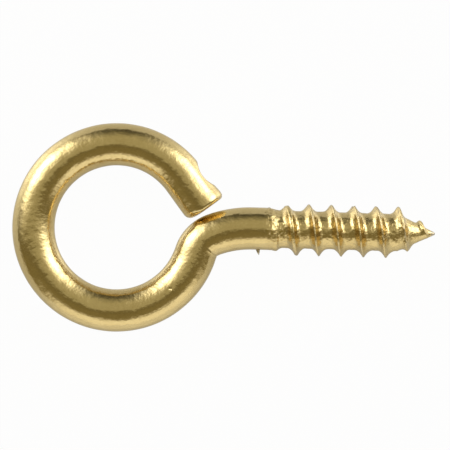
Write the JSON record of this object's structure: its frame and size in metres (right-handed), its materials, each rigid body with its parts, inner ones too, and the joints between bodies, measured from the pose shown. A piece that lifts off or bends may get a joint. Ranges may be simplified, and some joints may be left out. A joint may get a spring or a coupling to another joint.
{
  "type": "screw eye",
  "caption": "Open screw eye bent from one length of round wire, with a rolled wood-screw thread and a gimlet point on its shank.",
  "frame": {"origin": "centre of the eye, in the middle of the wire's thickness", "axes": "+X along the shank towards the point, +Y across the eye on the side of the wire's free end, +Z square to the eye"},
  "size_m": [0.03, 0.0148, 0.0036],
  "materials": {
    "plated_wire": "bright electro-brassed steel wire, plated after bending and thread rolling"
  },
  "bodies": {
    "root": {"screw_eye": "plated_wire"}
  },
  "joints": []
}
